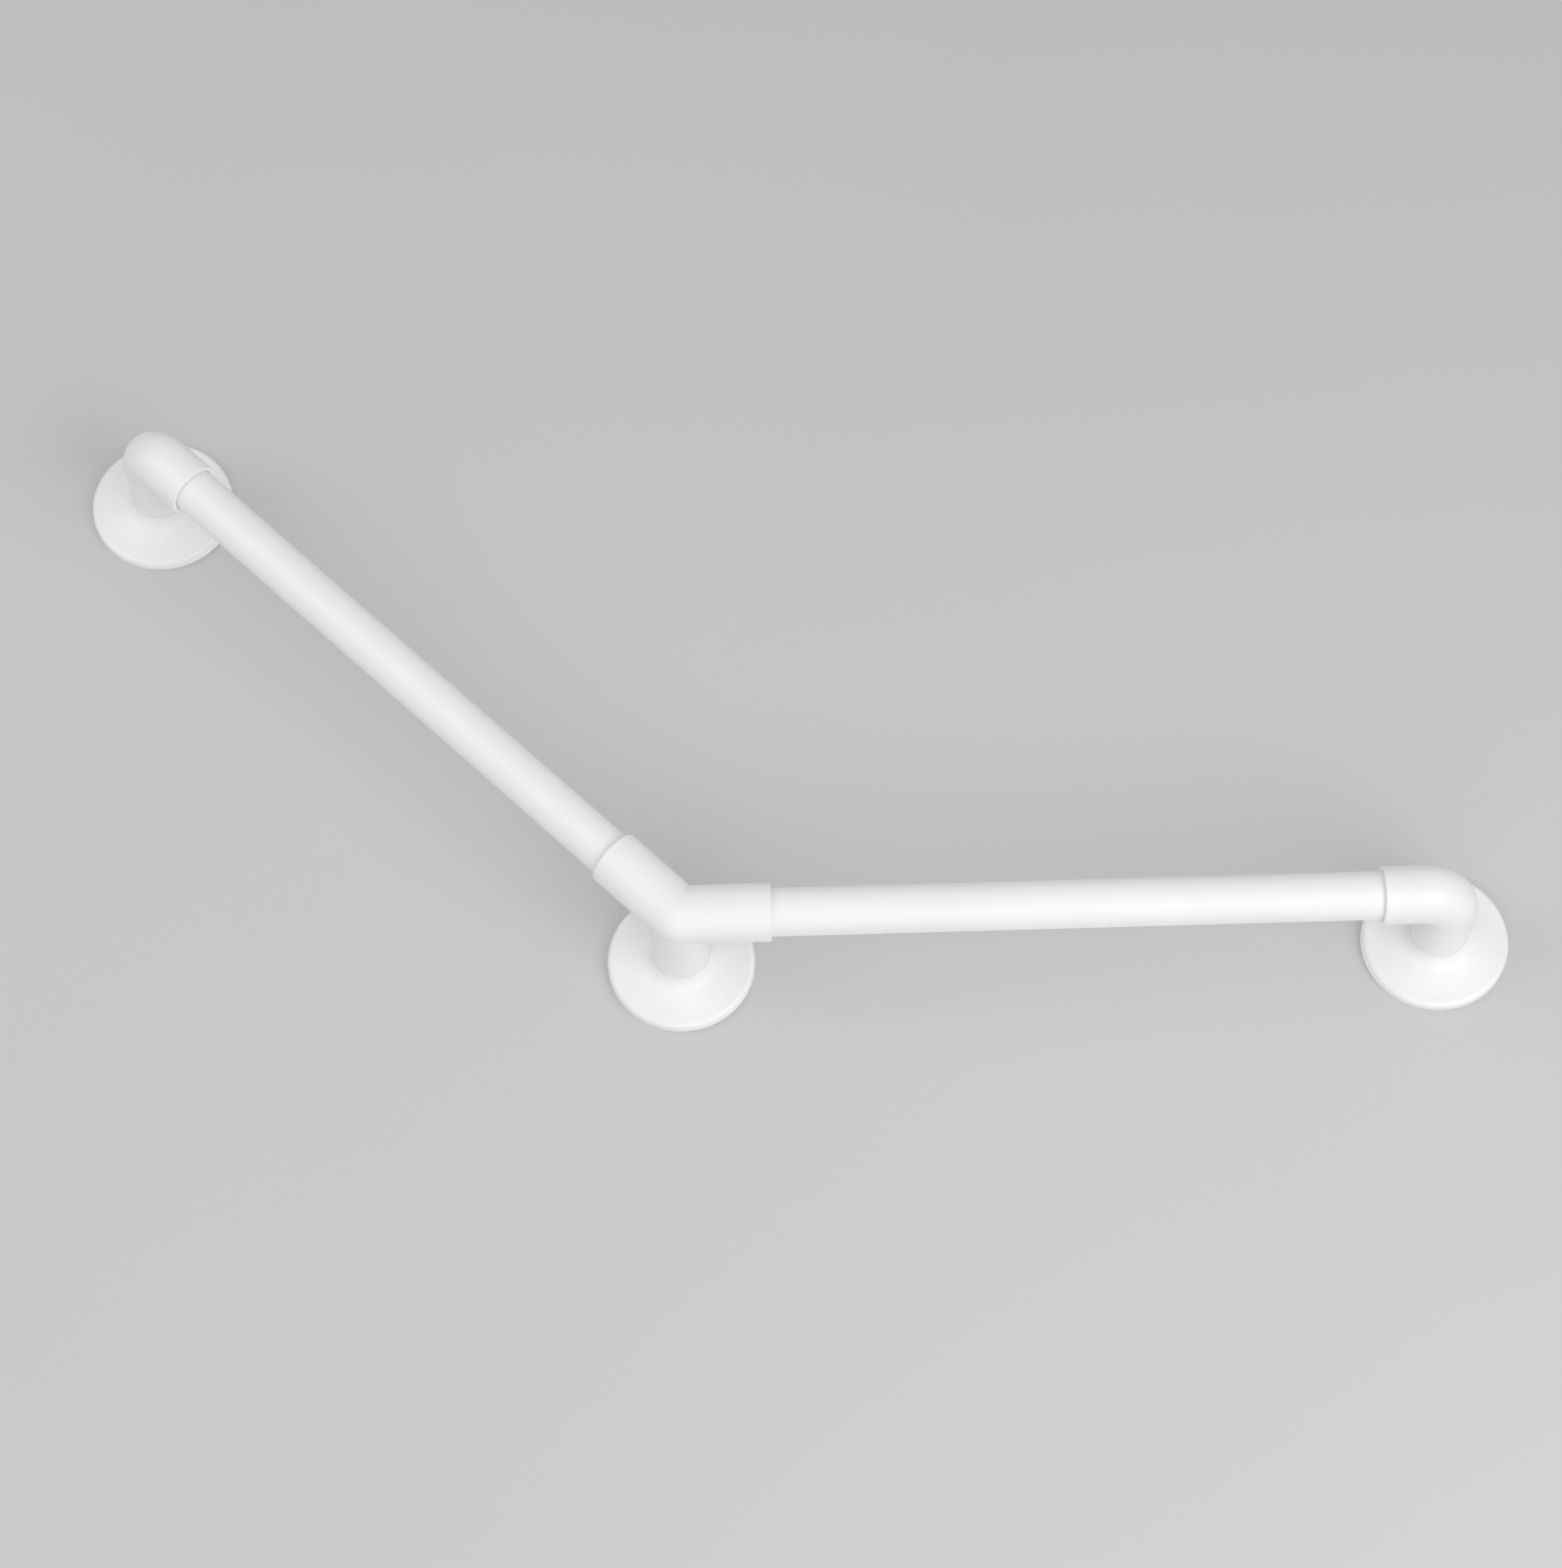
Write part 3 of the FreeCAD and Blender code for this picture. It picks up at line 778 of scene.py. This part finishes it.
def fastenerMesh(name, kit, finish):
    # Axis along +Z, with the head's face at height 0
    sides = kit["sides"]
    angles = [math.tau * side / sides for side in range(sides)]
    rings = []

    def level(height, radii):
        rings.append([(r * math.cos(a), r * math.sin(a), height) for r, a in zip(radii, angles)])

    detail = fastenerDetail
    drive = [driveRadius(kit, a) for a in angles]
    taper = kit["driveTaper"]
    recessEnd = kit["driveDepth"] + kit["driveSize"] * detail["pointDepth"]
    level(recessEnd, [kit["driveSize"] * detail["pointRadius"]] * sides)
    level(kit["driveDepth"], [r * taper for r in drive])
    level(kit["driveDepth"] * 0.5, [r * (1 + taper) / 2 for r in drive])
    level(detail["driveEdge"], drive)
    level(0.0, [r + detail["driveEdgeWidth"] for r in drive])
    level(0.0, [kit["headRadius"] - detail["faceEdge"]] * sides)
    level(detail["rimEdge"], [kit["headRadius"] - detail["rimEdge"]] * sides)
    level(kit["headRim"], [kit["headRadius"]] * sides)
    neck = kit["headRim"] + (kit["headRadius"] - kit["coreRadius"]) * kit["coneSlope"]
    level(neck, [kit["coreRadius"]] * sides)
    top = neck + kit["plainNeck"]
    tip = kit["length"]
    rows = int((tip - top) / kit["pitch"] * kit["rowsPerPitch"])
    depth = kit["threadRadius"] - kit["coreRadius"]
    for row in range(rows + 1):
        height = top + (tip - top) * row / rows
        ease = min(1.0, row / kit["rowsPerPitch"], (tip - height) / kit["tipLength"])
        core = kit["coreRadius"]
        if tip - height < kit["tipLength"]:
            share = (tip - height) / kit["tipLength"]
            core = kit["tipRadius"] + (kit["coreRadius"] - kit["tipRadius"]) * share
        radii = []
        for angle in angles:
            turn = (height / kit["pitch"] - angle / math.tau) % 1.0
            radii.append(core + depth * ease * ridge(turn))
        level(height, radii)
    points = [point for ring in rings for point in ring]
    faces = []
    for ring in range(len(rings) - 1):
        for side in range(sides):
            after = (side + 1) % sides
            faces.append((ring * sides + side, ring * sides + after,
                          (ring + 1) * sides + after, (ring + 1) * sides + side))
    faces.append(tuple(range(sides)))
    last = (len(rings) - 1) * sides
    faces.append(tuple(last + side for side in reversed(range(sides))))
    mesh = bpy.data.meshes.new(name)
    mesh.from_pydata(points, [], faces)
    mesh.materials.append(finish)
    closeAndSmooth(mesh, detail["sharpAngle"])
    return mesh


def fastenerSetTree():
    # Copies of one fastener on the points of a mesh
    tree, start, end = newTree("fastenerSet", "GeometryNodeTree", [
        ("Geometry", "NodeSocketGeometry", None),
        ("Fastener", "NodeSocketObject", None),
        ("Twist", "NodeSocketFloat", 0.6),
        ("Twist Seed", "NodeSocketInt", 3),
        ("Finish", "NodeSocketMaterial", None),
    ], [("Geometry", "NodeSocketGeometry")])
    link = tree.links.new
    pick = addNode(tree, "GeometryNodeObjectInfo", None, {"As Instance": True})
    link(start.outputs["Fastener"], pick.inputs["Object"])
    chance = addNode(tree, "FunctionNodeRandomValue", {"data_type": "FLOAT"})
    link(start.outputs["Twist"], chance.inputs[3])
    link(start.outputs["Twist Seed"], chance.inputs["Seed"])
    twist = addNode(tree, "ShaderNodeCombineXYZ")
    link(chance.outputs[1], twist.inputs["Z"])
    copies = addNode(tree, "GeometryNodeInstanceOnPoints")
    link(start.outputs["Geometry"], copies.inputs["Points"])
    link(pick.outputs["Geometry"], copies.inputs["Instance"])
    link(twist.outputs[0], copies.inputs["Rotation"])
    realize = addNode(tree, "GeometryNodeRealizeInstances")
    link(copies.outputs["Instances"], realize.inputs["Geometry"])
    finish = addNode(tree, "GeometryNodeSetMaterial")
    link(realize.outputs["Geometry"], finish.inputs["Geometry"])
    link(start.outputs["Finish"], finish.inputs["Material"])
    link(finish.outputs["Geometry"], end.inputs["Geometry"])
    return tree


fastenerSet = fastenerSetTree()


def headPlaces(nodeNames):
    # One point for each solid of the nodes: its axis, and the head's face
    places = []
    for nodeName in nodeNames:
        groups = []
        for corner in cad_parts[nodeName].data.vertices:
            point = Vector(corner.co)
            near = [g for g in groups if (g[0] - point).length < fastenerDetail["solidsApart"]]
            if near:
                near[0].append(point)
            else:
                groups.append([point])
        for group in groups:
            xs = [p.x for p in group]
            zs = [p.z for p in group]
            face = max(p.y for p in group)
            places.append(Vector(((min(xs) + max(xs)) / 2, face, (min(zs) + max(zs)) / 2)))
    return places


def makeFastenerSet(name, kit, nodeNames):
    single = bpy.data.objects.new(name + "Single", fastenerMesh(name + "Single", kit, zincPlate))
    scene.collection.objects.link(single)
    intoTool = outOfWall.inverted()
    points = bpy.data.meshes.new(name + "Points")
    points.from_pydata([intoTool @ place for place in headPlaces(nodeNames)], [], [])
    holder = bpy.data.objects.new(name + "Holder", points)
    scene.collection.objects.link(holder)
    modifier = holder.modifiers.new("copies", "NODES")
    modifier.node_group = fastenerSet
    for label, value in (("Fastener", single), ("Twist", kit["twist"]), ("Twist Seed", kit["seed"]),
                         ("Finish", zincPlate)):
        modifier[inputId(fastenerSet, label)] = value
    mesh = plainMeshFrom(holder, name)
    mesh.transform(outOfWall)
    singleMesh = single.data
    bpy.data.objects.remove(single)
    bpy.data.meshes.remove(singleMesh)
    addPiece(name, mesh, "bar", nodeNames)


stemBolt = {
    "sides": 48,
    "headRadius": 0.008,
    "headRim": 0.00035,
    "coneSlope": 1.0,
    "coreRadius": 0.0033,
    "threadRadius": 0.00395,
    "plainNeck": 0.0006,
    "pitch": 0.00125,
    "rowsPerPitch": 8,
    "length": 0.025,
    "tipLength": 0.0012,
    "tipRadius": 0.0026,
    "drive": "hexagon",
    "driveSize": 0.005,
    "driveDepth": 0.003,
    "driveTaper": 1.0,
    "twist": 1.0,
    "seed": 4,
}
socketScrew = {
    "sides": 32,
    "headRadius": 0.0033,
    "headRim": 0.0002,
    "coneSlope": 1.0,
    "coreRadius": 0.00125,
    "threadRadius": 0.00175,
    "plainNeck": 0.0002,
    "pitch": 0.0013,
    "rowsPerPitch": 10,
    "length": 0.0095,
    "tipLength": 0.002,
    "tipRadius": 0.0002,
    "drive": "cross",
    "driveSize": 0.0009,
    "driveLength": 0.0034,
    "driveDepth": 0.001,
    "driveTaper": 0.7,
    "twist": 1.2,
    "seed": 9,
}
makeFastenerSet("stemBolts", stemBolt, ["corner_stem_bolt", "upper_stem_bolt", "lower_stem_bolt"])
makeFastenerSet("socketScrews", socketScrew, ["socket_screws"])
print("fasteners made")


# Wall and floor, seen by the camera and in gloss, from their front only: they hide nothing from behind
backdrop = {
    "wallColour": (0.60, 0.60, 0.605, 1),
    "floorColour": (0.88, 0.88, 0.885, 1),
    "roughness": 0.85,
    "specular": 0.2,
    "mottle": {"Scale": 3.0, "Detail": 2.0},
    "mottleTone": 0.97,       # the mottle's darker tone, as a part of the colour
    "wallBehind": 0.0006,
    "floorHeight": -1.9,
    "floorSides": 96,         # the floor is round, so that no corner of it shows
    "reach": 4.0,
    "glossFrom": 0.02,        # gloss nearer than this looks through the wall, as behind the plates
}


def backdropFinish(name, colour, kit):
    material = bpy.data.materials.new(name)
    material.use_nodes = True
    tree = material.node_tree
    link = tree.links.new
    paint = tree.nodes["Principled BSDF"]
    paint.inputs["Roughness"].default_value = kit["roughness"]
    paint.inputs["Specular IOR Level"].default_value = kit["specular"]
    place = addNode(tree, "ShaderNodeTexCoord")
    mottle = addNode(tree, "ShaderNodeTexNoise", None, kit["mottle"])
    link(place.outputs["Object"], mottle.inputs["Vector"])
    deeper = tuple(c * kit["mottleTone"] for c in colour[:3]) + (1,)
    tone = addNode(tree, "ShaderNodeMix", {"data_type": "RGBA"}, {6: colour, 7: deeper})
    link(mottle.outputs["Fac"], tone.inputs[0])
    link(tone.outputs[2], paint.inputs["Base Color"])
    rays = addNode(tree, "ShaderNodeLightPath")
    sides = addNode(tree, "ShaderNodeNewGeometry")
    front = addNode(tree, "ShaderNodeMath", {"operation": "SUBTRACT"}, {0: 1.0})
    link(sides.outputs["Backfacing"], front.inputs[1])
    apart = addNode(tree, "ShaderNodeMath", {"operation": "GREATER_THAN"}, {1: kit["glossFrom"]})
    link(rays.outputs["Ray Length"], apart.inputs[0])
    looking = addNode(tree, "ShaderNodeMath", {"operation": "MULTIPLY_ADD", "use_clamp": True})
    link(rays.outputs["Is Glossy Ray"], looking.inputs[0])
    link(apart.outputs[0], looking.inputs[1])
    link(rays.outputs["Is Camera Ray"], looking.inputs[2])
    seen = addNode(tree, "ShaderNodeMath", {"operation": "MULTIPLY"})
    link(looking.outputs[0], seen.inputs[0])
    link(front.outputs[0], seen.inputs[1])
    clear = addNode(tree, "ShaderNodeBsdfTransparent")
    choose = addNode(tree, "ShaderNodeMixShader")
    link(seen.outputs[0], choose.inputs[0])
    link(clear.outputs[0], choose.inputs[1])
    link(paint.outputs[0], choose.inputs[2])
    link(choose.outputs[0], tree.nodes["Material Output"].inputs["Surface"])
    return material


def makeBackdrop(kit):
    reach = kit["reach"]
    wallY = kit["wallBehind"]
    floorZ = kit["floorHeight"]
    turns = [math.tau * side / kit["floorSides"] for side in range(kit["floorSides"])]
    sheets = {
        "wall": [(-reach, wallY, floorZ), (reach, wallY, floorZ),
                 (reach, wallY, reach), (-reach, wallY, reach)],
        "floor": [(reach * math.cos(turn), reach * math.sin(turn), floorZ) for turn in turns],
    }
    for name, corners in sheets.items():
        mesh = bpy.data.meshes.new(name)
        mesh.from_pydata(corners, [], [tuple(range(len(corners)))])
        mesh.materials.append(backdropFinish(name + "Paint", kit[name + "Colour"], kit))
        sheet = bpy.data.objects.new(name, mesh)
        scene.collection.objects.link(sheet)


makeBackdrop(backdrop)
print("backdrop made")
